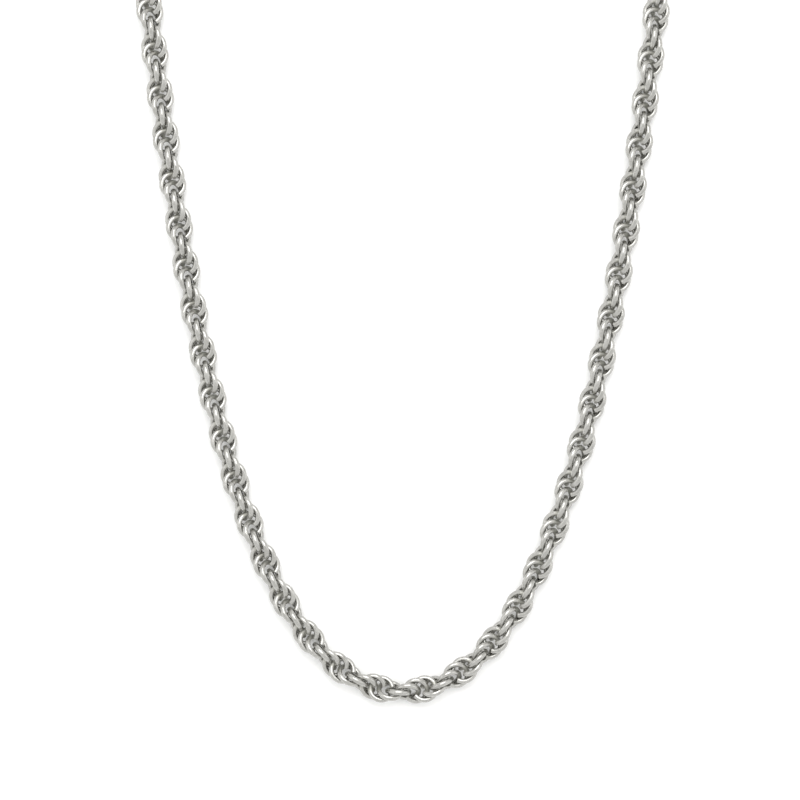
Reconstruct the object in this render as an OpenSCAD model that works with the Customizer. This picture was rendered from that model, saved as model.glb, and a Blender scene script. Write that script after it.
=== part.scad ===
// Twisted rope chain necklace with a lobster clasp, laid out flat in a hanging-chain curve.
// The two free ends are at the top, the front of the necklace is at the origin, and the
// surface it lies on is z = 0. All sizes are in millimetres.

/* [Rope] */
// Diameter of the round wire the links are bent from
wire_d = 0.7; // [0.4:0.05:0.9]
// Room left beside each wire, so that the links can move
link_clearance = 0.05; // [0.03:0.01:0.1]
// Runs of links on each side of the front run
side_runs = 17; // [5:1:20]

/* [Lay] */
// Radius of the bend at the front of the necklace, in radii of the rope
bend_ratio = 6.5; // [6:0.25:12]

/* [End caps] */
// Length of an end cap over the last link
cap_l = 2.5; // [1.8:0.1:4]
// Depth to which a cap reaches over the last link
cap_grip = 1.1; // [0.8:0.05:1.25]
// Gap between the cup of a cap and the link in it
cap_fit = 0.04; // [0.02:0.01:0.1]
// Depth of solder in the cup of a cap
solder_depth = 0.75; // [0.4:0.05:1]

/* [Rings] */
// Diameter of the wire of an eye
eye_wire_d = 0.8; // [0.6:0.05:1]
// Diameter of the hole of an eye
eye_hole_d = 1.5; // [1.3:0.05:2]
// Diameter of the wire of a jump ring
ring_wire_d = 0.7; // [0.5:0.05:0.9]
// Outer diameter of a jump ring
ring_od = 3.9; // [3.8:0.05:5]
// Hairline slit where the ends of a jump ring meet
ring_slit = 0.06; // [0.03:0.01:0.15]
// Free gap between a ring and the eye that it hangs in
ring_slack = 0.15; // [0.08:0.01:0.25]

/* [Clasp] */
// Length of the clasp from the centre of its eye to its nose
clasp_l = 10.5; // [9.5:0.1:14]
// Width of the clasp across its two bars
clasp_w = 5.2; // [4.8:0.1:6]
// Thickness of the clasp
clasp_t = 2.8; // [2.4:0.1:3.6]
// Width of the bars of the clasp
clasp_bar_w = 1.3; // [1.1:0.05:1.5]
// Diameter of the rivet that the lever turns on
rivet_d = 0.7; // [0.5:0.05:0.9]
// Running clearance of the lever, on the rivet and at its sides
lever_fit = 0.05; // [0.03:0.01:0.08]
// Thickness of the lever inside the slot of the clasp
lever_t = 1.4; // [1.2:0.1:1.6]
// Diameter of the wire of the lever's spring
spring_wire_d = 0.18; // [0.12:0.01:0.22]
// Turns of the lever's spring
spring_turns = 3; // [2:1:3]

/* [Hidden] */
$fn = 48;
eps = 0.01;
links_per_run = 10;
links_per_turn = 10;

// The rope: every link passes through the two before it and the two after it. Its opening faces the
// front of the necklace, so only its closed side crosses the axis of the rope.
wire_room = wire_d + link_clearance;
link_pitch = 1.7 * wire_room;
link_r = 2.2 * wire_room;
link_opening = 1.75 * wire_room;
rope_r = link_r + wire_d / 2;
bend_r = bend_ratio * rope_r;
link_gap_a = 2 * asin(link_opening / 2 / link_r);
link_count = links_per_run * (2 * side_runs + 1);
last_link_s = (link_count - 1) / 2 * link_pitch;

// The ends, measured outward from the centre of the last link
cup_r = rope_r + cap_fit;
cap_x = rope_r - cap_grip;
eye_r = (eye_hole_d + eye_wire_d) / 2;
eye_gap_a = 80;
eye_sink = 0.45;
eye_x = cap_x + cap_l + eye_r * cos(eye_gap_a / 2) - eye_sink;
ring_r = (ring_od - ring_wire_d) / 2;
ring_reach = ring_r - ring_wire_d / 2 - eye_wire_d / 2 - ring_slack;
ring_x = eye_x + eye_r + ring_reach;
clasp_x = ring_x + ring_reach + eye_r;

// The clasp, measured from the centre of its eye
clasp_end_r = clasp_w / 2;
root_x = eye_r + clasp_end_r;
nose_x = clasp_l - clasp_end_r;
window_r = clasp_end_r - clasp_bar_w;
window_x = root_x + 1.2;
pivot_x = root_x - 0.6;
pivot_y = -1.2;
boss_r = 1;
slot_t = lever_t + 2 * lever_fit;
slot_r = boss_r + 0.25;
gate_x = root_x + 0.6;
gate_gap = 0.1;
gate_reach = nose_x + 0.7 - pivot_x;
spring_r = rivet_d / 2 + spring_wire_d / 2 + 0.14;
spring_pitch = spring_wire_d + 0.03;
spring_seat_r = spring_r + spring_wire_d / 2 + lever_fit;
tab_x = pivot_x + 0.9;
tab_y = -clasp_end_r - 0.5;
tab_r = 0.75;

// Hanging-chain curve by its arc length s, measured from the front: place and heading
function lay_x(s) = bend_r * ln(s / bend_r + sqrt(1 + pow(s / bend_r, 2)));
function lay_y(s) = sqrt(pow(bend_r, 2) + pow(s, 2)) - bend_r;
function lay_heading(s) = atan2(s, bend_r);
function link_s(i) = (i + 0.5) * link_pitch;
function run_name(side, k) = str("rope_", side, "_", k < 10 ? "0" : "", k);

// A point of the curve, with X along the rope and Z up
module on_lay(s) {
    translate([lay_x(s), lay_y(s), rope_r])
        rotate([0, 0, lay_heading(s)])
            children();
}

// The centre of the last link of one side, with X pointing away from the rope
module at_end(side) {
    on_lay(side * last_link_s)
        rotate([0, 0, side > 0 ? 0 : 180])
            children();
}

// A ring of round wire in the XY plane, with its opening towards +X
module wire_ring(r, d, gap_a = 0) {
    rotate([0, 0, gap_a / 2])
        rotate_extrude(angle = 360 - gap_a)
            translate([r, 0])
                rotate(90)
                    circle(d = d, $fn = $fn / 2);
}

// One C-shaped link, turned about the rope by its place in the twist
module link(i) {
    rotate([90 - (i + 1) * 360 / links_per_turn, 0, 0])
        rotate([0, 0, i < 0 ? 0 : 180])
            wire_ring(link_r, wire_d, link_gap_a);
}

// A run of links, the n-th from the front
module rope_run(n) {
    first = links_per_run * (n - 0.5);
    color("silver")
        for (i = [first : first + links_per_run - 1])
            on_lay(link_s(i))
                link(i);
}

// A profile turned about the X axis: its X is the radius, its Y runs along the axis
module turned() {
    rotate([0, 90, 0])
        rotate_extrude()
            children();
}

// Index of the last link of one side
function last_link(side) = side > 0 ? link_count / 2 - 1 : -link_count / 2;

// End cap: a plug with a round cup over the last link, and a bent eye with both ends in its face
module end_cap(side) {
    $fn = 96;
    color("silver")
        at_end(side) {
            turned()
                difference() {
                    translate([0, cap_x])
                        square([rope_r, cap_l]);
                    circle(r = cup_r);
                }
            translate([eye_x, 0, 0])
                rotate([0, 0, 180])
                    wire_ring(eye_r, eye_wire_d, eye_gap_a);
        }
}

// Solder that fills the bottom of a cap's cup round the last link
module solder(side) {
    $fn = 96;
    color("gainsboro")
        difference() {
            at_end(side)
                turned()
                    intersection() {
                        translate([0, cup_r - solder_depth])
                            square(rope_r);
                        circle(r = cup_r);
                    }
            on_lay(side * last_link_s)
                link(last_link(side));
        }
}

// Jump ring, upright through the eye of an end cap
module jump_ring(side) {
    color("silver")
        at_end(side)
            translate([ring_x, 0, 0])
                rotate([90, 90, 0])
                    wire_ring(ring_r, ring_wire_d, 2 * asin(ring_slit / 2 / ring_r));
}

// The centre of the clasp's eye, with X towards its nose
module at_clasp() {
    at_end(-1)
        translate([clasp_x, 0, 0])
            children();
}

// The space of the gate in the lower bar of the clasp, up to the height top
module gate_space(reach, from_x, depth, top) {
    intersection() {
        translate([pivot_x, pivot_y, -depth / 2])
            cylinder(h = depth, r = reach, $fn = 96);
        translate([from_x, top - 2 * clasp_w, -depth / 2])
            cube([clasp_l, 2 * clasp_w, depth]);
    }
}

// Long outline of the clasp with two round ends
module claw_blank(r, x0, x1, t) {
    translate([0, 0, -t / 2])
        linear_extrude(height = t) {
            translate([x0, 0])
                circle(r = r);
            translate([x1, 0])
                circle(r = r);
            translate([x0, -r])
                square([x1 - x0, 2 * r]);
        }
}

// Clasp body: eye, two cheeks for the lever, back bar and hooked nose
module clasp_body() {
    color("silver")
        at_clasp() {
            wire_ring(eye_r, eye_wire_d);
            difference() {
                claw_blank(clasp_end_r, root_x, nose_x, clasp_t);
                claw_blank(window_r, window_x, nose_x, clasp_t + 2 * eps);
                gate_space(gate_reach + gate_gap, gate_x, clasp_t + 2 * eps, 0);
                translate([pivot_x - slot_r, -2 * clasp_w, -slot_t / 2])
                    cube([clasp_l, 2 * clasp_w + pivot_y + slot_r, slot_t]);
                translate([pivot_x, pivot_y, -clasp_t])
                    cylinder(h = 2 * clasp_t, d = rivet_d);
            }
        }
}

// Lever: a boss on the rivet, an arm, the gate that closes the hook and a finger tab
module clasp_lever() {
    color("gainsboro")
        at_clasp()
            difference() {
                union() {
                    translate([pivot_x, pivot_y, -lever_t / 2])
                        cylinder(h = lever_t, r = boss_r);
                    translate([pivot_x, -clasp_end_r + gate_gap, -lever_t / 2])
                        cube([gate_x + 1 - pivot_x, clasp_bar_w, lever_t]);
                    intersection() {
                        claw_blank(clasp_end_r, root_x, nose_x, clasp_t - 2 * lever_fit);
                        gate_space(gate_reach, gate_x + gate_gap, clasp_t, -window_r);
                    }
                    translate([tab_x, tab_y, -lever_t / 2])
                        cylinder(h = lever_t, r = tab_r);
                    translate([tab_x - tab_r, tab_y, -lever_t / 2])
                        cube([2 * tab_r, clasp_bar_w, lever_t]);
                }
                translate([pivot_x, pivot_y, -lever_t])
                    cylinder(h = 2 * lever_t, r = rivet_d / 2 + lever_fit);
                translate([pivot_x, pivot_y, 0])
                    cylinder(h = lever_t, r = spring_seat_r);
            }
}

// Rivet through both cheeks
module clasp_rivet() {
    color("silver")
        at_clasp()
            translate([pivot_x, pivot_y, -clasp_t / 2])
                cylinder(h = clasp_t, d = rivet_d);
}

// Turns of the spring, in the recess of the lever round the rivet
module clasp_spring() {
    color("dimgray")
        at_clasp()
            for (k = [0 : spring_turns - 1])
                translate([pivot_x, pivot_y, spring_wire_d / 2 + 0.02 + k * spring_pitch])
                    wire_ring(spring_r, spring_wire_d);
}

rope_run(0);  // rope_front
for (k = [1 : side_runs]) {
    rope_run(-k);
    rope_run(k);
}
end_cap(-1);  // end_cap_left
end_cap(1);  // end_cap_right
solder(-1);  // solder_left
solder(1);  // solder_right
jump_ring(-1);  // clasp_ring
jump_ring(1);  // closing_ring
clasp_body();
clasp_lever();
clasp_rivet();
clasp_spring();
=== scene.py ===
"""Twisted silver rope chain with end caps, jump rings and a lobster clasp.

The necklace lies flat on a pale table with its clasp undone. Metres, +Z up, and
the origin is the table point under the middle of the front of the chain.
"""

import logging
import math
from dataclasses import dataclass, field
from enum import Enum
from typing import Sequence

import bmesh
import bpy
import numpy as np
from mathutils import Matrix, Vector

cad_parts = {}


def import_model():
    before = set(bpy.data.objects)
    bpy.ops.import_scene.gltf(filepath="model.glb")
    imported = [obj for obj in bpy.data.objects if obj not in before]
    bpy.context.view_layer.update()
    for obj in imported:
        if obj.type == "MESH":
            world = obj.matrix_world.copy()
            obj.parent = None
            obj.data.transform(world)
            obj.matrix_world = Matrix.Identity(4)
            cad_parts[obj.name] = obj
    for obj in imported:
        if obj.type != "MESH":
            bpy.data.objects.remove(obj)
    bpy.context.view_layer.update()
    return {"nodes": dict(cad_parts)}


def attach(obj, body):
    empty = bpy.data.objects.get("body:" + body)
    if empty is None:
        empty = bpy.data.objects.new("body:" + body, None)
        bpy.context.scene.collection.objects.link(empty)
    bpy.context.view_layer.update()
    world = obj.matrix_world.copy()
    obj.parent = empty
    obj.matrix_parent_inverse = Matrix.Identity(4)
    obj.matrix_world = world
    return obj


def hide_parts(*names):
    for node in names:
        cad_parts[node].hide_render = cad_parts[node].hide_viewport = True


LOG = logging.getLogger("necklace")
MM = 0.001
TABLE_TOP = 0.0
FULL_TURN = 2 * math.pi
# Numbers of the colour mix node's two inputs and its result, which share their names with others.
MIX_FIRST, MIX_SECOND, MIX_RESULT = 6, 7, 2

Point = tuple[float, float]
Values = Sequence[float]
Socket = bpy.types.NodeSocket
Sockets = bpy.types.bpy_prop_collection


class Side(Enum):
    """The two ends of the rope, with the sign of their distance along it."""

    LEFT = -1
    RIGHT = 1

    @property
    def label(self) -> str:
        """The end's name as the bodies and nodes spell it."""
        return self.name.lower()


class Slot(Enum):
    """Material slots of the record."""

    ROPE = "rope_silver"
    CAP = "cap_silver"
    CLASP = "clasp_silver"
    SOLDER = "solder"
    SPRING = "spring_steel"


# ---------------------------------------------------------------- node graphs


@dataclass
class Graph:
    """Short ways to add and join the nodes of one tree.

    Args:
        tree: the tree that the nodes go into.
    """

    tree: bpy.types.NodeTree
    count: int = 0

    def node(self, kind: str, inputs: dict | None = None, **settings) -> bpy.types.Node:
        """Adds a node.

        Args:
            kind: the node's type name.
            inputs: values or sockets by the input's name or number.
            settings: attributes of the node itself.

        Returns:
            The new node.
        """
        made = self.tree.nodes.new(kind)
        made.location = (180 * (self.count % 12), -260 * (self.count // 12))
        self.count += 1
        for name, value in settings.items():
            setattr(made, name, value)
        for name, value in (inputs or {}).items():
            self.feed(made.inputs[name], value)
        return made

    def feed(self, socket: Socket, value: Socket | float | Values) -> None:
        """Joins a socket to another, or gives it a constant."""
        if isinstance(value, Socket):
            self.tree.links.new(value, socket)
        else:
            socket.default_value = value

    def math(self, operation: str, *values: Socket | float) -> Socket:
        """The result of one arithmetic step on sockets or numbers."""
        made = self.node("ShaderNodeMath", operation=operation)
        for socket, value in zip(made.inputs, values):
            self.feed(socket, value)
        return made.outputs[0]

    def span(
        self, value: Socket, low: float, high: float, to_low: float, to_high: float
    ) -> Socket:
        """A value of one range carried over to another, held within it."""
        ends = {"From Min": low, "From Max": high, "To Min": to_low, "To Max": to_high}
        return self.node("ShaderNodeMapRange", {"Value": value, **ends}).outputs["Result"]

    def noise(
        self, place: Socket, scale: float, detail: float, roughness: float = 0.5
    ) -> Socket:
        """A noise pattern's value at a place."""
        inputs = {"Vector": place, "Scale": scale, "Detail": detail, "Roughness": roughness}
        return self.node("ShaderNodeTexNoise", inputs).outputs["Fac"]

    def mix(self, factor: Socket, first: Socket | Values, second: Socket | Values) -> Socket:
        """A colour between two others, each a socket or a constant."""
        made = self.node("ShaderNodeMix", {"Factor": factor}, data_type="RGBA")
        self.feed(made.inputs[MIX_FIRST], first)
        self.feed(made.inputs[MIX_SECOND], second)
        return made.outputs[MIX_RESULT]


# ------------------------------------------------------------------- finishes


# Scales of the wear's patterns, in repeats a metre.
BROAD_SCALE = 260.0
FINE_SCALE = 2600.0
GRAIN_SCALE = 14000.0
# The turn and the scale along each set of scratches, and the scales across and into them.
SCRATCH_SETS = ((0.5, 420.0), (-0.9, 560.0), (1.9, 350.0))
SCRATCH_ACROSS = 9000.0
SCRATCH_INTO = 1500.0
SCRATCH_FROM, SCRATCH_FULL = 0.68, 0.80
# How hollow a spot is where the hollow colour starts and where it is full (tarnish together with
# painted shade in the hollows), and how ragged its edge is.
HOLLOW_TONE_FROM, HOLLOW_TONE_FULL = 0.25, 0.62
HOLLOW_TONE_RAGGED = 0.35
# What mottling, a scratch and tarnish add to the roughness.
MOTTLE_FROM, MOTTLE_FULL = 0.35, 0.65
MOTTLE_SMOOTHER, MOTTLE_ROUGHER = -0.05, 0.09
SCRATCH_ROUGH = 0.1
TARNISH_ROUGH = 0.35
# Shares of the grain and the scratches in the relief.
GRAIN_SHARE = 0.35
SCRATCH_SHARE = -0.45


def surface_group() -> bpy.types.NodeTree:
    """The wear, and the mask for tarnish and painted shade in the hollows, that every metal piece
    shares.

    Returns:
        A shader group whose outputs are plain values: mottling, how strongly a spot takes the
        hollow colour (tarnish and painted shade), its roughness and its height.
    """
    tree = bpy.data.node_groups.new("Metal wear and painted shade", "ShaderNodeTree")
    face = tree.interface
    for name, usual in (("Recess", 0.0), ("Polish", 0.12)):
        taken = face.new_socket(name, in_out="INPUT", socket_type="NodeSocketFloat")
        taken.default_value = usual
    g = Graph(tree)
    given = g.node("NodeGroupInput").outputs
    place = g.node("ShaderNodeTexCoord").outputs["Object"]

    broad = g.noise(place, BROAD_SCALE, 5.0, 0.6)
    fine = g.noise(place, FINE_SCALE, 4.0, 0.55)
    grain = g.noise(place, GRAIN_SCALE, 2.0)
    mottle = g.math("MULTIPLY_ADD", fine, 0.5, g.math("MULTIPLY", broad, 0.5))

    strokes = []
    for turn, along in SCRATCH_SETS:
        laid = g.node(
            "ShaderNodeMapping",
            {
                "Vector": place,
                "Rotation": (turn * 0.7, turn * 0.3, turn),
                "Scale": (along, SCRATCH_ACROSS, SCRATCH_INTO),
            },
        )
        lines = g.noise(laid.outputs[0], 1.0, 1.0)
        strokes.append(g.span(lines, SCRATCH_FROM, SCRATCH_FULL, 0.0, 1.0))
    scratch = g.math("MAXIMUM", g.math("MAXIMUM", strokes[0], strokes[1]), strokes[2])

    uneven = g.math("SUBTRACT", fine, 0.5)
    # Mask for the hollow colour: tarnish together with painted shade, gathered where the surface is
    # hollow, with ragged edges.
    deep = g.math("MULTIPLY_ADD", uneven, HOLLOW_TONE_RAGGED, given["Recess"])
    tarnish = g.node(
        "ShaderNodeMapRange",
        {"Value": deep, "From Min": HOLLOW_TONE_FROM, "From Max": HOLLOW_TONE_FULL},
        interpolation_type="SMOOTHSTEP",
    ).outputs["Result"]
    patchy = g.span(mottle, MOTTLE_FROM, MOTTLE_FULL, MOTTLE_SMOOTHER, MOTTLE_ROUGHER)
    rough = g.math("ADD", patchy, given["Polish"])
    rough = g.math("MULTIPLY_ADD", scratch, SCRATCH_ROUGH, rough)
    rough = g.math("MULTIPLY_ADD", tarnish, TARNISH_ROUGH, rough)
    height = g.math("MULTIPLY_ADD", grain, GRAIN_SHARE, fine)
    height = g.math("MULTIPLY_ADD", scratch, SCRATCH_SHARE, height)
    results = {"Mottle": mottle, "Tarnish": tarnish, "Roughness": rough, "Height": height}
    for name in results:
        face.new_socket(name, in_out="OUTPUT", socket_type="NodeSocketFloat")
    g.node("NodeGroupOutput", results)
    return tree


@dataclass(frozen=True)
class Finish:
    """A metal finish with its colours, polish and wear.

    Args:
        name: the material's name.
        bright: colour of the polished metal.
        dull: colour where the polish is thinner.
        tarnish: colour in the hollows; where it is darker than the metal, it is tarnish together
            with painted shade.
        polish: roughness of the clean metal.
        relief: depth of the fine relief, in millimetres.
    """

    name: str
    bright: Values
    dull: Values
    tarnish: Values
    polish: float
    relief: float

    def build(self, wear_and_shade: bpy.types.NodeTree) -> bpy.types.Material:
        """Makes the material.

        Args:
            wear_and_shade: the shared group of wear and of the hollow mask for tarnish and painted
                shade.

        Returns:
            The new material.
        """
        material = bpy.data.materials.new(self.name)
        material.use_nodes = True
        g = Graph(material.node_tree)
        shader = material.node_tree.nodes["Principled BSDF"]
        hollow = g.node("ShaderNodeAttribute", attribute_name="recess")
        shade = g.node("ShaderNodeAttribute", attribute_name="shade")
        used = g.node("ShaderNodeGroup", node_tree=wear_and_shade)
        g.feed(used.inputs["Recess"], hollow.outputs["Fac"])
        own = g.span(shade.outputs["Fac"], 0.0, 1.0, self.polish * 0.8, self.polish * 1.25)
        g.feed(used.inputs["Polish"], own)
        tone = g.span(used.outputs["Mottle"], 0.38, 0.62, 0.0, 1.0)
        metal = g.mix(tone, (*self.dull, 1), (*self.bright, 1))
        # The hollow colour mixed in: tarnish together with painted shade in the hollows.
        with_hollow_tone = g.mix(used.outputs["Tarnish"], metal, (*self.tarnish, 1))
        bump = g.node("ShaderNodeBump", {"Height": used.outputs["Height"], "Strength": 0.5})
        bump.inputs["Distance"].default_value = self.relief * MM
        g.feed(shader.inputs["Base Color"], with_hollow_tone)
        g.feed(shader.inputs["Roughness"], used.outputs["Roughness"])
        g.feed(shader.inputs["Normal"], bump.outputs[0])
        shader.inputs["Metallic"].default_value = 1.0
        return material


# Dark colour that the caps and clasp take in their hollows, tarnish together with painted shade;
# the solder takes it only in ragged patches.
SILVER_TARNISH_AND_SHADE = (0.22, 0.215, 0.19)
# Colour in the rope's hollows, close to the metal's own and a little lighter than its dull spots: a
# faint painted bounce light that lifts the dark gaps.
ROPE_HOLLOW_TONE = (0.45, 0.445, 0.41)
ROPE_FINISH = Finish(
    name="rope silver",
    bright=(0.48, 0.475, 0.455),
    dull=(0.40, 0.395, 0.375),
    tarnish=ROPE_HOLLOW_TONE,
    polish=0.21,
    relief=0.012,
)
CAP_FINISH = Finish(
    name="cap silver",
    bright=(0.52, 0.515, 0.495),
    dull=(0.42, 0.415, 0.395),
    tarnish=SILVER_TARNISH_AND_SHADE,
    polish=0.16,
    relief=0.008,
)
CLASP_FINISH = Finish(
    name="clasp silver",
    bright=(0.47, 0.465, 0.445),
    dull=(0.37, 0.365, 0.345),
    tarnish=SILVER_TARNISH_AND_SHADE,
    polish=0.26,
    relief=0.01,
)
SOLDER_FINISH = Finish(
    name="solder",
    bright=(0.52, 0.515, 0.50),
    dull=(0.40, 0.395, 0.38),
    tarnish=SILVER_TARNISH_AND_SHADE,
    polish=0.34,
    relief=0.03,
)
SPRING_FINISH = Finish(
    name="spring steel",
    bright=(0.56, 0.57, 0.60),
    dull=(0.42, 0.43, 0.46),
    tarnish=(0.06, 0.05, 0.04),
    polish=0.3,
    relief=0.01,
)


@dataclass
class Finishes:
    """All the metal materials, made once."""

    made: dict[Slot, bpy.types.Material] = field(default_factory=dict)

    def build(self) -> None:
        """Makes one material for each slot."""
        wear_and_shade = surface_group()
        wanted = {
            Slot.ROPE: ROPE_FINISH,
            Slot.CAP: CAP_FINISH,
            Slot.CLASP: CLASP_FINISH,
            Slot.SOLDER: SOLDER_FINISH,
            Slot.SPRING: SPRING_FINISH,
        }
        for slot, finish in wanted.items():
            self.made[slot] = finish.build(wear_and_shade)

    def dress(self, piece: bpy.types.Object, slot: Slot) -> None:
        """Gives a piece the material of a slot."""
        piece.data.materials.clear()
        piece.data.materials.append(self.made[slot])


# --------------------------------------------------------------- mesh helpers


def mesh_object(name: str, verts: Sequence, faces: Sequence) -> bpy.types.Object:
    """A new object in the scene from points and faces, in metres.

    Args:
        name: the object's name.
        verts: its points.
        faces: its faces, as lists of point numbers.

    Returns:
        The new object, at the origin.
    """
    data = bpy.data.meshes.new(name)
    data.from_pydata([tuple(v) for v in verts], [], faces)
    data.update()
    made = bpy.data.objects.new(name, data)
    bpy.context.scene.collection.objects.link(made)
    return made


def tube(path: Sequence[Vector], radii: Values, sides: int, closed: bool) -> tuple[list, list]:
    """Points and faces of a round bar that follows a path.

    Args:
        path: the centre line's points.
        radii: the bar's radius at each of them.
        sides: how many sides the bar has.
        closed: True if the last point joins the first.

    Returns:
        Points and faces, with the ends closed.
    """
    count = len(path)
    side_on = None
    verts: list[Vector] = []
    for i, at in enumerate(path):
        ahead = path[(i + 1) % count] if closed or i + 1 < count else at
        behind = path[i - 1] if closed or i > 0 else at
        along = (ahead - behind).normalized()
        if side_on is None:
            side_on = along.orthogonal().normalized()
        side_on = (side_on - along * side_on.dot(along)).normalized()
        up = along.cross(side_on)
        for k in range(sides):
            a = FULL_TURN * k / sides
            verts.append(at + radii[i] * (math.cos(a) * side_on + math.sin(a) * up))
    faces = []
    for i in range(count if closed else count - 1):
        j = (i + 1) % count
        for k in range(sides):
            n = (k + 1) % sides
            faces.append([i * sides + k, i * sides + n, j * sides + n, j * sides + k])
    if not closed:
        faces.append([k for k in range(sides)][::-1])
        faces.append([(count - 1) * sides + k for k in range(sides)])
    return verts, faces


def rounded_bar(
    points: Sequence[Vector], radius: float, round_off: float, sides: int
) -> tuple[list, list]:
    """A round bar along points, with its two ends rounded off.

    Args:
        points: the centre line.
        radius: the bar's radius.
        round_off: how far the rounding reaches in from each end.
        sides: how many sides the bar has.

    Returns:
        Points and faces of the bar.
    """
    steps, first = 4, 0.35
    turns = [(k + first) / steps * math.pi / 2 for k in range(steps)]
    path, radii = [], []
    head, tail = points[0], points[-1]
    head_to = (points[1] - head).normalized()
    tail_to = (points[-2] - tail).normalized()
    for a in turns:
        path.append(head + head_to * round_off * (1 - math.cos(a)))
        radii.append(radius - round_off * (1 - math.sin(a)))
    for point in points[1:-1]:
        if (point - head).length > round_off and (point - tail).length > round_off:
            path.append(point)
            radii.append(radius)
    for a in reversed(turns):
        path.append(tail + tail_to * round_off * (1 - math.cos(a)))
        radii.append(radius - round_off * (1 - math.sin(a)))
    return tube(path, radii, sides, False)


def arc_points(
    centre: Vector, radius: float, start: float, sweep: float, steps: int, u: Vector, v: Vector
) -> list[Vector]:
    """Points of an arc in the plane of two unit vectors."""
    turns = [start + sweep * k / steps for k in range(steps + 1)]
    return [centre + radius * (math.cos(a) * u + math.sin(a) * v) for a in turns]


def lathe(profile: Sequence[Point], segments: int) -> tuple[list, list]:
    """A closed profile of (along, radius) points turned about the X axis.

    Args:
        profile: the profile's points, going round.
        segments: how many facets go round.

    Returns:
        Points and faces.
    """
    verts: list[Vector] = []
    rings: list[list[int]] = []
    for along, radius in profile:
        if radius < 1e-9:
            verts.append(Vector((along, 0, 0)))
            rings.append([len(verts) - 1] * segments)
            continue
        first = len(verts)
        for k in range(segments):
            a = FULL_TURN * k / segments
            verts.append(Vector((along, radius * math.cos(a), radius * math.sin(a))))
        rings.append(list(range(first, first + segments)))
    faces = []
    for ring, after in zip(rings, rings[1:] + rings[:1]):
        for k in range(segments):
            n = (k + 1) % segments
            loop = [ring[k], ring[n], after[n], after[k]]
            kept = [p for i, p in enumerate(loop) if p != loop[i - 1]]
            if len(set(kept)) > 2:
                faces.append(kept)
    return verts, faces


def placed(part: tuple[list, list], place: Matrix) -> tuple[list, list]:
    """The same part, moved by a matrix and turned from millimetres to metres."""
    verts, faces = part
    return [(place @ Vector(v)) * MM for v in verts], faces


def joined(*parts: tuple[list, list]) -> tuple[list, list]:
    """Several parts as one list of points and one of faces."""
    verts: list = []
    faces: list = []
    for part_verts, part_faces in parts:
        first = len(verts)
        verts += list(part_verts)
        faces += [[first + k for k in loop] for loop in part_faces]
    return verts, faces


def outward(piece: bpy.types.Object) -> None:
    """Turns every closed shell of a piece so that its faces look outwards."""
    made = bmesh.new()
    made.from_mesh(piece.data)
    bmesh.ops.recalc_face_normals(made, faces=made.faces)
    made.to_mesh(piece.data)
    made.free()


def smooth(piece: bpy.types.Object, angle: float = 40.0) -> None:
    """Shades a piece smoothly, apart from edges sharper than an angle in degrees."""
    data = piece.data
    data.polygons.foreach_set("use_smooth", [True] * len(data.polygons))
    made = bmesh.new()
    made.from_mesh(data)
    limit = math.radians(angle)
    for edge in made.edges:
        edge.smooth = len(edge.link_faces) != 2 or edge.calc_face_angle(0.0) < limit
    made.to_mesh(data)
    made.free()


def mark_hollows(piece: bpy.types.Object, reach: int = 3, gain: float = 3.0) -> None:
    """Stores how hollow the surface is at each point, where the hollow colour goes: tarnish
    together with painted shade.

    Args:
        piece: the object to mark.
        reach: how many times the value is spread to its neighbours.
        gain: how strongly a hollow counts.
    """
    data = piece.data
    count = len(data.vertices)
    co = np.empty(count * 3)
    data.vertices.foreach_get("co", co)
    co = co.reshape(-1, 3)
    normal = np.empty(count * 3)
    data.vertices.foreach_get("normal", normal)
    normal = normal.reshape(-1, 3)
    ends = np.empty(len(data.edges) * 2, int)
    data.edges.foreach_get("vertices", ends)
    a, b = ends.reshape(-1, 2).T
    degree = np.zeros(count)
    hollow = np.zeros(count)
    step = co[b] - co[a]
    length = np.linalg.norm(step, axis=1) + 1e-12
    for one, other, sign in ((a, b, 1.0), (b, a, -1.0)):
        lean = sign * (step * normal[one]).sum(1) / length
        np.add.at(hollow, one, lean)
        np.add.at(degree, one, 1.0)
    hollow = np.clip(hollow / np.maximum(degree, 1) * gain, 0, 1)
    for _ in range(reach):
        spread = np.zeros(count)
        np.add.at(spread, a, hollow[b])
        np.add.at(spread, b, hollow[a])
        hollow = 0.5 * hollow + 0.5 * spread / np.maximum(degree, 1)
    store(piece, "recess", hollow)
    store(piece, "shade", np.full(count, 0.5))


def store(piece: bpy.types.Object, name: str, values: np.ndarray) -> None:
    """Writes one number for each point of a piece under a name."""
    kept = piece.data.attributes.get(name) or piece.data.attributes.new(name, "FLOAT", "POINT")
    kept.data.foreach_set("value", np.asarray(values, np.float32))


def stadium(radius: float, x0: float, x1: float, steps: int = 24) -> list[Point]:
    """Outline of two equal circles on the X axis with the sides between them."""
    right = [
        (x1 + radius * math.sin(math.pi * k / steps), -radius * math.cos(math.pi * k / steps))
        for k in range(steps + 1)
    ]
    left = [(x0 + x1 - x, -y) for x, y in right]
    return right + left


def circle(radius: float, x: float, y: float, steps: int = 48) -> list[Point]:
    """Outline of a circle."""
    turns = [FULL_TURN * (k + 0.5) / steps for k in range(steps)]
    return [(x + radius * math.cos(a), y + radius * math.sin(a)) for a in turns]


def box_outline(x0: float, x1: float, y0: float, y1: float) -> list[Point]:
    """Outline of a rectangle."""
    return [(x0, y0), (x1, y0), (x1, y1), (x0, y1)]


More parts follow.
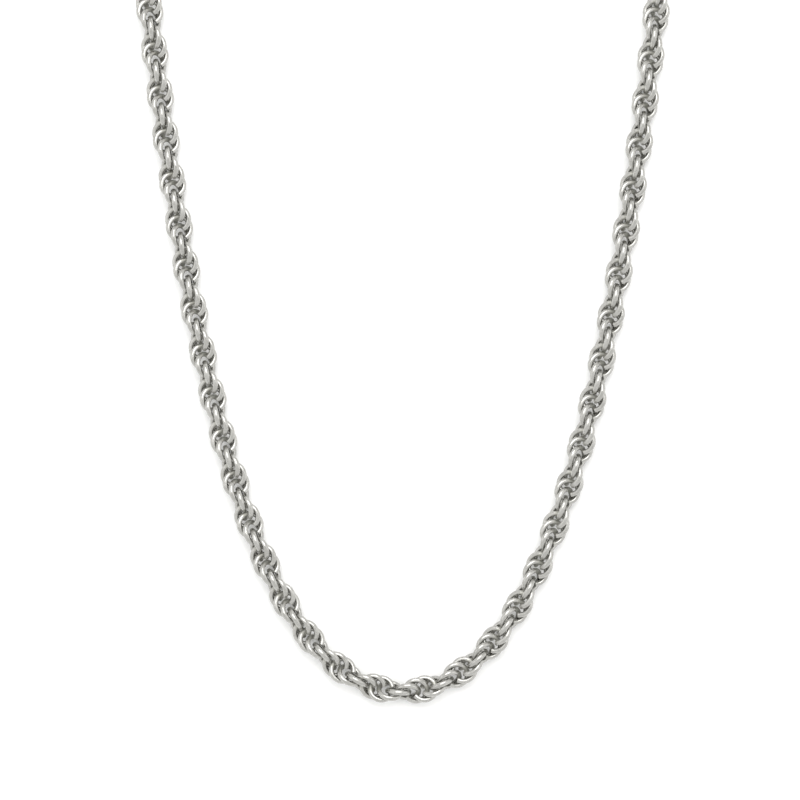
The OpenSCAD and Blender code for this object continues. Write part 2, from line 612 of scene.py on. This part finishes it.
def plate(
    name: str, outline: Sequence[Point], low: float, high: float, roll: float = 0.0
) -> bpy.types.Object:
    """A flat plate in millimetres, with its top and bottom edges rolled over.

    Args:
        name: the object's name.
        outline: its outline, counter-clockwise.
        low: height of its bottom.
        high: height of its top.
        roll: radius of the rolled edge.

    Returns:
        The plate.
    """
    count = len(outline)
    verts = [(x, y, z) for z in (low, high) for x, y in outline]
    sides = [[k, (k + 1) % count, count + (k + 1) % count, count + k] for k in range(count)]
    bottom, top = list(range(count))[::-1], list(range(count, 2 * count))
    made = mesh_object(name, verts, [bottom, top, *sides])
    if roll:
        bevel(made, roll, 5, 60.0)
    return made


def bevel(piece: bpy.types.Object, width: float, segments: int, angle: float) -> None:
    """Rolls the edges of a piece that are sharper than an angle in degrees."""
    step = piece.modifiers.new("roll", "BEVEL")
    step.width = width
    step.segments = segments
    step.limit_method = "ANGLE"
    step.angle_limit = math.radians(angle)
    step.use_clamp_overlap = True
    settle(piece)


def combine(piece: bpy.types.Object, tool: bpy.types.Object, operation: str) -> None:
    """Adds a tool to a piece, cuts it away or keeps what they share, and removes the tool."""
    step = piece.modifiers.new("cut", "BOOLEAN")
    step.operation = operation
    step.solver = "EXACT"
    step.object = tool
    settle(piece)
    spent = tool.data
    bpy.data.objects.remove(tool)
    bpy.data.meshes.remove(spent)


def settle(piece: bpy.types.Object) -> None:
    """Replaces a piece's mesh by what its modifiers make of it, and removes them."""
    bpy.context.view_layer.update()
    seen = piece.evaluated_get(bpy.context.evaluated_depsgraph_get())
    before = piece.data
    piece.data = bpy.data.meshes.new_from_object(seen)
    piece.data.name = piece.name
    piece.modifiers.clear()
    bpy.data.meshes.remove(before)


def cleaned(piece: bpy.types.Object, place: Matrix) -> None:
    """Welds a piece, moves it to its place in metres and faces it outwards."""
    made = bmesh.new()
    made.from_mesh(piece.data)
    bmesh.ops.remove_doubles(made, verts=made.verts, dist=0.004)
    bmesh.ops.dissolve_degenerate(made, edges=made.edges, dist=0.003)
    made.to_mesh(piece.data)
    made.free()
    piece.data.transform(Matrix.Scale(MM, 4) @ place)
    outward(piece)


# ------------------------------------------------------------------- the rope


@dataclass(frozen=True)
class Lay:
    """The curve that the rope lies in, in millimetres, measured by length from the front.

    Args:
        bend_r: radius of the curve at the front.
        height: height of the rope's axis over the table.
    """

    bend_r: float = 13.0
    height: float = 2.0

    def place(self, s: float) -> Matrix:
        """Place and heading of the rope at a length s, with X along the rope."""
        t = s / self.bend_r
        x = self.bend_r * math.asinh(t)
        y = self.bend_r * (math.sqrt(1 + t * t) - 1)
        return Matrix.Translation((x, y, self.height)) @ Matrix.Rotation(math.atan(t), 4, "Z")


@dataclass(frozen=True)
class RopeSize:
    """Sizes of the rope's links, in millimetres.

    Args:
        pitch: distance from one link to the next.
        radius: radius of a link's centre line.
        wire_across: thickness of the wire in the plane of its link.
        wire_along: thickness of the wire square to that plane.
        opening: width of the link's opening.
        turn: links in one full turn of the twist.
        run: links in one run.
        runs: runs on each side of the front one.
    """

    pitch: float = 1.275
    radius: float = 1.645
    wire_across: float = 0.75
    wire_along: float = 0.81
    opening: float = 1.3125
    turn: int = 10
    run: int = 10
    runs: int = 17

    @property
    def last_s(self) -> float:
        """Length from the front to the middle of the last link."""
        return (self.run * (2 * self.runs + 1) - 1) / 2 * self.pitch


class LinkTree:
    """Geometry nodes that string a run of links along the rope's curve."""

    def __init__(self, size: RopeSize, lay: Lay, metal: bpy.types.Material) -> None:
        """Builds the tree.

        Args:
            size: the links' sizes.
            lay: the curve that the rope follows.
            metal: the links' material.
        """
        self.tree = bpy.data.node_groups.new("Rope run", "GeometryNodeTree")
        self.sockets: dict[str, str] = {}
        self.size = size
        self.lay = lay
        self._build(metal)

    def _input(self, name: str, kind: str, value: float) -> None:
        """Adds a named input with its usual value."""
        made = self.tree.interface.new_socket(name, in_out="INPUT", socket_type=kind)
        made.default_value = value
        self.sockets[name] = made.identifier

    def _build(self, metal: bpy.types.Material) -> None:
        """Adds the inputs, the nodes and the links between them."""
        size, lay = self.size, self.lay
        whole, number = "NodeSocketInt", "NodeSocketFloat"
        self._input("First Link", whole, 0)
        self._input("Links", whole, size.run)
        self._input("Links Per Turn", number, float(size.turn))
        self._input("Pitch", number, size.pitch * MM)
        self._input("Bend Radius", number, lay.bend_r * MM)
        self._input("Axis Height", number, lay.height * MM)
        self._input("Link Radius", number, size.radius * MM)
        self._input("Wire Across", number, size.wire_across * MM)
        self._input("Wire Along", number, size.wire_along * MM)
        self._input("Opening", number, size.opening * MM)
        self._input("Play", number, math.radians(0.5))
        self._input("Seed", whole, 7)
        face = self.tree.interface
        face.new_socket("Geometry", in_out="OUTPUT", socket_type="NodeSocketGeometry")
        g = Graph(self.tree)
        given = g.node("NodeGroupInput").outputs
        index = g.math("ADD", g.node("GeometryNodeInputIndex").outputs[0], given["First Link"])
        points = self._places(g, given, index)
        link = self._link(g, given)
        strung = self._strung(g, given, index, points, link)
        shaded = g.node("GeometryNodeSetShadeSmooth", {"Geometry": strung})
        dressed = {"Geometry": shaded.outputs[0], "Material": metal}
        painted = g.node("GeometryNodeSetMaterial", dressed)
        g.node("NodeGroupOutput", {"Geometry": painted.outputs[0]})

    def _places(self, g: Graph, given: Sockets, index: Socket) -> Socket:
        """Points on the hanging-chain curve, one for each link."""
        bend = given["Bend Radius"]
        s = g.math("MULTIPLY", g.math("ADD", index, 0.5), given["Pitch"])
        self.ratio = g.math("DIVIDE", s, bend)
        root = g.math("SQRT", g.math("MULTIPLY_ADD", self.ratio, self.ratio, 1.0))
        x = g.math("MULTIPLY", g.math("LOGARITHM", g.math("ADD", self.ratio, root), math.e), bend)
        y = g.math("MULTIPLY", g.math("SUBTRACT", root, 1.0), bend)
        spot = g.node("ShaderNodeCombineXYZ", {"X": x, "Y": y, "Z": given["Axis Height"]})
        made = g.node("GeometryNodePoints", {"Count": given["Links"], "Position": spot.outputs[0]})
        return made.outputs[0]

    def _link(self, g: Graph, given: Sockets) -> Socket:
        """One C-shaped link round its own middle, with how deep each point lies in the rope."""
        radius = given["Link Radius"]
        half_opening = g.math("MULTIPLY", given["Opening"], 0.5)
        half_gap = g.math("ARCSINE", g.math("DIVIDE", half_opening, radius))
        sweep = g.math("SUBTRACT", FULL_TURN, g.math("MULTIPLY", half_gap, 2.0))
        bent = {"Resolution": 33, "Radius": radius, "Start Angle": half_gap, "Sweep Angle": sweep}
        arc = g.node("GeometryNodeCurveArc", bent, mode="RADIUS")
        upright = g.node("GeometryNodeSetCurveNormal", {"Curve": arc.outputs[0]}, mode="Z_UP")
        round_section = {"Resolution": 10, "Radius": 0.5}
        ring = g.node("GeometryNodeCurvePrimitiveCircle", round_section, mode="RADIUS")
        thick = {"X": given["Wire Across"], "Y": given["Wire Along"], "Z": 1.0}
        oval = g.node("ShaderNodeCombineXYZ", thick).outputs[0]
        section = g.node("GeometryNodeTransform", {"Geometry": ring.outputs[0], "Scale": oval})
        swept = g.node(
            "GeometryNodeCurveToMesh",
            {"Curve": upright.outputs[0], "Profile Curve": section.outputs[0], "Fill Caps": True},
        )
        spot = g.node("GeometryNodeInputPosition").outputs[0]
        here = g.node("ShaderNodeSeparateXYZ", {"Vector": spot})
        y, z = here.outputs["Y"], here.outputs["Z"]
        out = g.math("SQRT", g.math("MULTIPLY_ADD", y, y, g.math("MULTIPLY", z, z)))
        depth = g.span(g.math("DIVIDE", out, radius), 0.1, 0.75, 1.0, 0.0)
        marked = g.node(
            "GeometryNodeStoreNamedAttribute",
            {"Geometry": swept.outputs[0], "Name": "recess", "Value": depth},
            data_type="FLOAT",
            domain="POINT",
        )
        return marked.outputs[0]

    def _strung(
        self, g: Graph, given: Sockets, index: Socket, points: Socket, link: Socket
    ) -> Socket:
        """The links on their points, each turned by its place in the twist."""
        step = g.math("DIVIDE", FULL_TURN, given["Links Per Turn"])
        turned_by = g.math("MULTIPLY", g.math("ADD", index, 1.0), step)
        twist = g.math("SUBTRACT", math.pi / 2, turned_by)
        loose = g.node(
            "FunctionNodeRandomValue",
            {"Seed": given["Seed"], "ID": index},
            data_type="FLOAT",
        )
        either_way = g.math("SUBTRACT", loose.outputs[1], 0.5)
        lean = g.math("MULTIPLY", either_way, g.math("MULTIPLY", given["Play"], 2.0))
        heading = g.math("ARCTANGENT", self.ratio)
        turned = g.node("ShaderNodeCombineXYZ", {"X": g.math("ADD", twist, lean), "Z": heading})
        facing = g.node("FunctionNodeEulerToRotation", {"Euler": turned.outputs[0]})
        right = g.math("GREATER_THAN", index, -0.5)
        flip = g.node("ShaderNodeCombineXYZ", {"Z": g.math("MULTIPLY", right, math.pi)})
        about = g.node("FunctionNodeEulerToRotation", {"Euler": flip.outputs[0]})
        both = g.node(
            "FunctionNodeRotateRotation",
            {"Rotation": facing.outputs[0], "Rotate By": about.outputs[0]},
            rotation_space="LOCAL",
        )
        laid = {"Points": points, "Instance": link, "Rotation": both.outputs[0]}
        strung = g.node("GeometryNodeInstanceOnPoints", laid)
        own = g.node(
            "FunctionNodeRandomValue",
            {"Seed": g.math("ADD", given["Seed"], 11.0), "ID": index},
            data_type="FLOAT",
        )
        marked = g.node(
            "GeometryNodeStoreNamedAttribute",
            {"Geometry": strung.outputs[0], "Name": "shade", "Value": own.outputs[1]},
            data_type="FLOAT",
            domain="INSTANCE",
        )
        return g.node("GeometryNodeRealizeInstances", {"Geometry": marked.outputs[0]}).outputs[0]


@dataclass
class Rope:
    """The twisted chain: thirty-five runs of ten links, one run for each body."""

    size: RopeSize
    lay: Lay
    finishes: Finishes

    def build(self) -> list[bpy.types.Object]:
        """Makes every run of links.

        Returns:
            The runs, from the front outwards.
        """
        tree = LinkTree(self.size, self.lay, self.finishes.made[Slot.ROPE])
        made = [self._run(tree, "front", 0)]
        for side in Side:
            for k in range(1, self.size.runs + 1):
                made.append(self._run(tree, f"{side.label}_{k:02d}", side.value * k))
        return made

    def _run(self, tree: LinkTree, body: str, number: int) -> bpy.types.Object:
        """One run of links as a plain mesh that rides on its body."""
        piece = mesh_object(f"links_{body}", [], [])
        maker = piece.modifiers.new("run", "NODES")
        maker.node_group = tree.tree
        maker[tree.sockets["First Link"]] = round(self.size.run * (number - 0.5))
        maker[tree.sockets["Seed"]] = 40 + number
        settle(piece)
        self.finishes.dress(piece, Slot.ROPE)
        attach(piece, body)
        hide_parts(f"rope_{body}")
        LOG.info("%s: %d points", piece.name, len(piece.data.vertices))
        return piece


# ---------------------------------------------------------- caps, rings, clasp


@dataclass(frozen=True)
class EndSize:
    """Sizes and places past the last link, in millimetres along the rope.

    Args:
        cap_x: where a cap's rim lies.
        cap_end: where its closed end lies.
        cap_r: its outer radius.
        cup_r: radius of the hollow over the last link.
        eye_x: middle of the cap's eye.
        eye_r: centre-line radius of an eye.
        eye_wire: thickness of an eye's wire.
        ring_x: middle of a jump ring.
        ring_r: its centre-line radius.
        ring_wire: its wire.
        ring_slit: width of its slit.
        ring_round: rounding of its two ends.
        clasp_x: middle of the clasp's eye.
        grooves: where the fine grooves go round a cap.
        groove_half: half a groove's width.
        groove_depth: its depth.
        crown: radius of a cap's rounded closed end.
        eye_gap: half the opening of an eye towards its cap, in degrees.
        flare: how much an eye's wire thickens where it meets the cap.
    """

    cap_x: float = 0.9
    cap_end: float = 3.4
    cap_r: float = 2.0
    cup_r: float = 2.04
    eye_x: float = 3.831
    eye_r: float = 1.15
    eye_wire: float = 0.8
    ring_x: float = 5.681
    ring_r: float = 1.6
    ring_wire: float = 0.7
    ring_slit: float = 0.06
    ring_round: float = 0.09
    clasp_x: float = 7.531
    grooves: Values = (1.32, 1.62, 2.72)
    groove_half: float = 0.11
    groove_depth: float = 0.09
    crown: float = 0.42
    eye_gap: float = 41.0
    flare: float = 0.18


@dataclass
class EndCap:
    """A turned cap over the last link, with a bent eye on its closed end."""

    side: Side
    place: Matrix
    size: EndSize

    def build(self) -> bpy.types.Object:
        """Makes the cap and its eye as one piece."""
        e = self.size
        rim_inner = math.sqrt(e.cup_r**2 - e.cap_x**2)
        lip = (e.cap_r - rim_inner) / 2
        profile: list[Point] = [
            (e.cap_x + lip - lip * math.cos(a), (e.cap_r + rim_inner) / 2 + lip * math.sin(a))
            for a in (-0.9, -0.45, 0.0, 0.5, 1.0, 1.4)
        ]
        for x in e.grooves:
            profile += self._groove(x)
        profile += [
            (e.cap_end - e.crown + e.crown * math.sin(a), e.cap_r - e.crown + e.crown * math.cos(a))
            for a in [math.pi / 2 * k / 7 for k in range(8)]
        ]
        profile += [(e.cap_end + 0.06, 1.3), (e.cap_end + 0.10, 0.7), (e.cap_end + 0.10, 0.0)]
        steps = 12
        profile += [
            (e.cup_r * math.cos(a), e.cup_r * math.sin(a))
            for a in [math.asin(rim_inner / e.cup_r) * k / steps for k in range(steps)]
        ]
        shell = lathe(profile, 72)
        half_gap = math.radians(e.eye_gap)
        bends = 44
        loop = arc_points(
            Vector((e.eye_x, 0, 0)),
            e.eye_r,
            math.pi + half_gap,
            FULL_TURN - 2 * half_gap,
            bends,
            Vector((1, 0, 0)),
            Vector((0, 1, 0)),
        )
        flare = [1 + e.flare * math.exp(-min(k, bends - k) / 1.6) for k in range(bends + 1)]
        eye = tube(loop, [e.eye_wire / 2 * f for f in flare], 20, False)
        return self._made(joined(placed(shell, self.place), placed(eye, self.place)))

    def _groove(self, x: float) -> list[Point]:
        """A fine groove turned round the cap at x."""
        r, half, depth = self.size.cap_r, self.size.groove_half, self.size.groove_depth
        shoulder = (0.05, r - depth * 0.8)
        near, far = (x - shoulder[0], shoulder[1]), (x + shoulder[0], shoulder[1])
        return [(x - half, r), near, (x, r - depth), far, (x + half, r)]

    def _made(self, part: tuple[list, list]) -> bpy.types.Object:
        """The finished object."""
        piece = mesh_object(f"cap_{self.side.label}", *part)
        outward(piece)
        smooth(piece, 50)
        mark_hollows(piece, 2, 4.0)
        return piece

    def dress(self, piece: bpy.types.Object, finishes: Finishes, body: str) -> None:
        """Gives the cap its finish and its body."""
        finishes.dress(piece, Slot.CAP)
        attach(piece, body)
        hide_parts(f"end_cap_{self.side.label}")


@dataclass
class JumpRing:
    """A bent ring of round wire whose two ends meet at a fine slit on its lower side."""

    name: str
    node: str
    place: Matrix
    size: EndSize

    def build(self) -> bpy.types.Object:
        """Makes the ring."""
        e = self.size
        half_slit = math.asin(e.ring_slit / 2 / e.ring_r)
        points = arc_points(
            Vector((e.ring_x, 0, 0)),
            e.ring_r,
            -math.pi / 2 + half_slit,
            FULL_TURN - 2 * half_slit,
            96,
            Vector((1, 0, 0)),
            Vector((0, 0, 1)),
        )
        bar = rounded_bar(points, e.ring_wire / 2, e.ring_round, 20)
        piece = mesh_object(self.name, *placed(bar, self.place))
        outward(piece)
        smooth(piece, 55)
        mark_hollows(piece, 1, 1.5)
        return piece

    def dress(self, piece: bpy.types.Object, finishes: Finishes) -> None:
        """Gives the ring its finish and its body."""
        finishes.dress(piece, Slot.CAP)
        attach(piece, self.node)
        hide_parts(self.node)


@dataclass(frozen=True)
class ClaspSize:
    """Sizes of the lobster clasp in millimetres, from the middle of its eye towards the nose.

    Args:
        end_r: radius of its round ends.
        root_x: centre of the end by the eye.
        nose_x: centre of the nose.
        thick: thickness of the body.
        window_x: centre of the window's inner end.
        window_r: half the window's width.
        pivot: the rivet's place.
        gate_x: where the gate starts.
        gate_reach: reach of the gate from the pivot.
        gap: gap round the gate.
        slot_t: width of the slot for the lever.
        slot_r: room round the lever's boss.
        lever_t: thickness of the lever.
        boss_r: radius of its boss.
        tab: place of the finger tab.
        tab_r: radius of the tab.
        rivet_r: radius of the rivet.
        roll: radius of the cast body's rolled edge.
        lever_roll: radius of the gate's rolled edge.
        edge: rounding of the body's cut edges.
        lever_edge: rounding of the lever's.
        edge_angle: how sharp an edge has to be for that, in degrees.
        inset: how far the gate's faces lie under the body's.
        web: depth of the lever's arm and of the tab's neck.
        seat_r: radius of the spring's seat round the rivet.
        cut: how far a cutting tool reaches past what it cuts.
    """

    end_r: float = 2.6
    root_x: float = 3.75
    nose_x: float = 7.9
    thick: float = 2.8
    window_x: float = 4.95
    window_r: float = 1.3
    pivot: Point = (3.15, -1.2)
    gate_x: float = 4.35
    gate_reach: float = 5.45
    gap: float = 0.1
    slot_t: float = 1.5
    slot_r: float = 1.25
    lever_t: float = 1.4
    boss_r: float = 1.0
    tab: Point = (4.05, -3.1)
    tab_r: float = 0.75
    rivet_r: float = 0.35
    roll: float = 0.55
    lever_roll: float = 0.5
    edge: float = 0.11
    lever_edge: float = 0.1
    edge_angle: float = 48.0
    inset: float = 0.05
    web: float = 1.3
    seat_r: float = 0.72
    cut: float = 1.0


@dataclass
class Clasp:
    """A lobster clasp: cast body with its eye, lever with a finger tab, and a peened rivet."""

    place: Matrix
    size: ClaspSize
    ends: EndSize
    finishes: Finishes

    def build(self) -> list[bpy.types.Object]:
        """Makes the body, the lever and the rivet, and dresses them."""
        made = [
            (self._body(), "clasp", "clasp_body"),
            (self._lever(), "lever", "clasp_lever"),
            (self._rivet(), "clasp", "clasp_rivet"),
        ]
        for piece, body, node in made:
            mark_hollows(piece, 3, 3.0)
            self.finishes.dress(piece, Slot.CLASP)
            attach(piece, body)
            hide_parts(node)
            LOG.info("%s: %d points", piece.name, len(piece.data.vertices))
        return [piece for piece, _, _ in made]

    def _gate_room(self, reach: float, from_x: float, half: float, top: float) -> bpy.types.Object:
        """The space of the gate: a disc about the pivot, cut off past from_x and below top."""
        c = self.size
        room = plate("gate_room", circle(reach, *c.pivot, 96), -half, half)
        keep = plate("keep", box_outline(from_x, 20, -10, top), -half - c.cut, half + c.cut)
        combine(room, keep, "INTERSECT")
        return room

    def _body(self) -> bpy.types.Object:
        """The cast body with its cheeks, back bar, hooked nose and eye."""
        c = self.size
        half = c.thick / 2
        past = half + c.cut
        body = plate("clasp_shell", stadium(c.end_r, c.root_x, c.nose_x, 32), -half, half, c.roll)
        window = plate("window", stadium(c.window_r, c.window_x, c.nose_x, 28), -past, past)
        combine(body, window, "DIFFERENCE")
        mouth = self._gate_room(c.gate_reach + c.gap, c.gate_x, past, 0.0)
        combine(body, mouth, "DIFFERENCE")
        room = box_outline(c.pivot[0] - c.slot_r, 20, -10, c.pivot[1] + c.slot_r)
        combine(body, plate("slot", room, -c.slot_t / 2, c.slot_t / 2), "DIFFERENCE")
        bevel(body, c.edge, 3, c.edge_angle)
        hole = plate("hole", circle(c.rivet_r, *c.pivot), -past, past)
        combine(body, hole, "DIFFERENCE")
        combine(body, self._eye(), "UNION")
        cleaned(body, self.place)
        smooth(body, 44)
        return body

    def _eye(self) -> bpy.types.Object:
        """The clasp's cast eye, a full ring."""
        e = self.ends
        steps, start = 56, 0.01
        across, up = Vector((1, 0, 0)), Vector((0, 1, 0))
        loop = arc_points(Vector((0, 0, 0)), e.eye_r, start, FULL_TURN, steps, across, up)
        part = tube(loop[:-1], [e.eye_wire / 2] * steps, 20, True)
        eye = mesh_object("eye", *part)
        outward(eye)
        return eye

    def _lever(self) -> bpy.types.Object:
        """The lever: boss, arm, gate over the mouth and finger tab, with its hole and recess."""
        c = self.size
        half, body_half = c.lever_t / 2, c.thick / 2
        past = half + c.cut
        px, py = c.pivot
        (tx, ty), low = c.tab, -c.end_r + c.gap
        lever = plate("clasp_gate", circle(c.boss_r, px, py, 64), -half, half)
        arm = plate("arm", box_outline(px, c.gate_x + 1, low, low + c.web), -half, half)
        outline = stadium(c.end_r, c.root_x, c.nose_x, 32)
        gate = plate("gate", outline, -body_half + c.inset, body_half - c.inset, c.lever_roll)
        room = self._gate_room(c.gate_reach, c.gate_x + c.gap, half + 2, -c.window_r)
        combine(gate, room, "INTERSECT")
        tab = plate("tab", circle(c.tab_r, tx, ty, 56), -half, half)
        neck = plate("neck", box_outline(tx - c.tab_r, tx + c.tab_r, ty, ty + c.web), -half, half)
        for part in (arm, gate, tab, neck):
            combine(lever, part, "UNION")
        bevel(lever, c.lever_edge, 3, c.edge_angle)
        hole = plate("hole", circle(c.rivet_r + 0.05, px, py), -past, past)
        combine(lever, hole, "DIFFERENCE")
        combine(lever, plate("seat", circle(c.seat_r, px, py), 0.0, past), "DIFFERENCE")
        cleaned(lever, self.place)
        smooth(lever, 44)
        return lever

    def _rivet(self) -> bpy.types.Object:
        """The rivet, with a low peened head on each cheek."""
        c = self.size
        half = c.thick / 2
        head, rise = 0.5, 0.07
        turns = [math.pi / 2 * k / 6 for k in range(7)]
        dome = [(half + rise * math.cos(a), head * math.sin(a)) for a in turns]
        shaft = [(half, c.rivet_r), (-half, c.rivet_r)]
        profile = dome + shaft + [(-x, r) for x, r in reversed(dome)]
        turn = Matrix.Translation((*c.pivot, 0)) @ Matrix.Rotation(math.pi / 2, 4, "Y")
        verts, faces = lathe(profile, 40)
        rivet = mesh_object("clasp_pin", *placed((verts, faces), self.place @ turn))
        outward(rivet)
        smooth(rivet, 44)
        return rivet


def dress_kept_nodes(finishes: Finishes, nodes: dict[str, bpy.types.Object]) -> None:
    """Gives the CAD nodes that stay in view their finishes."""
    for name, slot in (
        ("solder_left", Slot.SOLDER),
        ("solder_right", Slot.SOLDER),
        ("clasp_spring", Slot.SPRING),
    ):
        piece = nodes[name]
        store(piece, "recess", np.full(len(piece.data.vertices), 0.15))
        store(piece, "shade", np.full(len(piece.data.vertices), 0.5))
        finishes.dress(piece, slot)
        LOG.info("%s: kept from the CAD", name)


# --------------------------------------------------------------------- studio


@dataclass(frozen=True)
class Softbox:
    """A square soft light that faces the front of the necklace, in metres and watts."""

    name: str
    place: tuple[float, float, float]
    size: float
    power: float


SOFTBOXES = (
    Softbox("key softbox", (0.0, 0.34, 0.46), 0.42, 1.7),
    Softbox("left softbox", (-0.62, 0.10, 0.42), 0.40, 0.3),
    Softbox("right softbox", (0.62, 0.10, 0.42), 0.40, 0.3),
)
# Colour and strength of the surroundings.
SURROUND_COLOUR = (1.0, 1.0, 0.99, 1)
SURROUND_STRENGTH = 1.12
# Point that the camera looks down on, and the width that it takes in.
VIEW_CENTRE = Vector((-0.00045, 0.0426, 0.002))
VIEW_SPAN = 0.1169


@dataclass
class Studio:
    """A pale table, soft lights and the camera over the front of the necklace.

    Args:
        centre: the point that the camera looks down on.
        span: width of the picture at that point, in metres.
    """

    centre: Vector
    span: float

    def build(self) -> None:
        """Makes the table, the lights, the surroundings and the camera."""
        self._camera()
        self._table()
        self._lights()
        self._world()

    def _camera(self) -> None:
        """A long lens that looks straight down, with the rope's front low in the picture."""
        lens, sensor = 120.0, 36.0
        data = bpy.data.cameras.new("camera")
        data.lens = lens
        data.sensor_width = sensor
        data.clip_start, data.clip_end = 0.01, 20.0
        camera = bpy.data.objects.new("camera", data)
        bpy.context.scene.collection.objects.link(camera)
        camera.location = self.centre + Vector((0, 0, self.span * lens / sensor))
        bpy.context.scene.camera = camera

    def _table(self) -> None:
        """A wide pale table with a soft rise behind it."""
        half, rise, steps = 1.6, 0.9, 16
        line = [(-half, 0.0), (half, 0.0)]
        line += [
            (half + rise * math.sin(a), rise - rise * math.cos(a))
            for a in [math.pi / 2 * (k + 1) / steps for k in range(steps)]
        ]
        line.append((half + rise, 2.4))
        verts = [(x, y, z + TABLE_TOP) for x in (-half - rise, half + rise) for y, z in line]
        count = len(line)
        faces = [[k, count + k, count + k + 1, k + 1] for k in range(count - 1)]
        table = mesh_object("table", verts, faces)
        smooth(table, 60)
        table.data.materials.append(self._paper())

    def _paper(self) -> bpy.types.Material:
        """Matt white card."""
        card = bpy.data.materials.new("white card")
        card.use_nodes = True
        g = Graph(card.node_tree)
        shader = card.node_tree.nodes["Principled BSDF"]
        place = g.node("ShaderNodeTexCoord").outputs["Object"]
        fibre = g.noise(place, 900.0, 4.0)
        tone = g.mix(fibre, (0.93, 0.93, 0.925, 1), (0.96, 0.96, 0.96, 1))
        g.feed(shader.inputs["Base Color"], tone)
        shader.inputs["Roughness"].default_value = 0.9
        shader.inputs["Specular IOR Level"].default_value = 0.1
        return card

    def _lights(self) -> None:
        """Softboxes: one overhead towards the back, and two weak ones at the sides."""
        target = Vector((self.centre.x, self.centre.y, TABLE_TOP))
        for box in SOFTBOXES:
            data = bpy.data.lights.new(box.name, "AREA")
            data.shape = "SQUARE"
            data.size = box.size
            data.energy = box.power
            lamp = bpy.data.objects.new(box.name, data)
            bpy.context.scene.collection.objects.link(lamp)
            lamp.location = box.place
            lamp.rotation_euler = (target - lamp.location).to_track_quat("-Z", "Y").to_euler()

    def _world(self) -> None:
        """Bright even surroundings, like the inside of a light tent."""
        world = bpy.data.worlds.new("surroundings")
        world.use_nodes = True
        back = world.node_tree.nodes["Background"]
        back.inputs["Color"].default_value = SURROUND_COLOUR
        back.inputs["Strength"].default_value = SURROUND_STRENGTH
        bpy.context.scene.world = world
        bpy.context.scene.view_settings.view_transform = "Standard"


def main() -> None:
    """Builds the necklace round the CAD frame."""
    logging.basicConfig(level=logging.INFO, format="%(name)s %(message)s")
    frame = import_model()
    Studio(VIEW_CENTRE, VIEW_SPAN).build()

    finishes = Finishes()
    finishes.build()
    size, lay, ends = RopeSize(), Lay(), EndSize()
    Rope(size, lay, finishes).build()
    turned = {Side.LEFT: Matrix.Rotation(math.pi, 4, "Z"), Side.RIGHT: Matrix.Identity(4)}
    rings = {
        Side.LEFT: ("ring_of_clasp", "clasp_ring"),
        Side.RIGHT: ("ring_of_closing", "closing_ring"),
    }
    for side in Side:
        place = lay.place(side.value * size.last_s) @ turned[side]
        cap = EndCap(side, place, ends)
        cap.dress(cap.build(), finishes, f"{side.label}_{size.runs:02d}")
        ring = JumpRing(*rings[side], place, ends)
        ring.dress(ring.build(), finishes)
        LOG.info("%s end: cap and ring", side.label)
    left = lay.place(Side.LEFT.value * size.last_s) @ turned[Side.LEFT]
    at_clasp = left @ Matrix.Translation((ends.clasp_x, 0, 0))
    Clasp(at_clasp, ClaspSize(), ends, finishes).build()
    dress_kept_nodes(finishes, frame["nodes"])


if __name__ == "__main__":
    main()
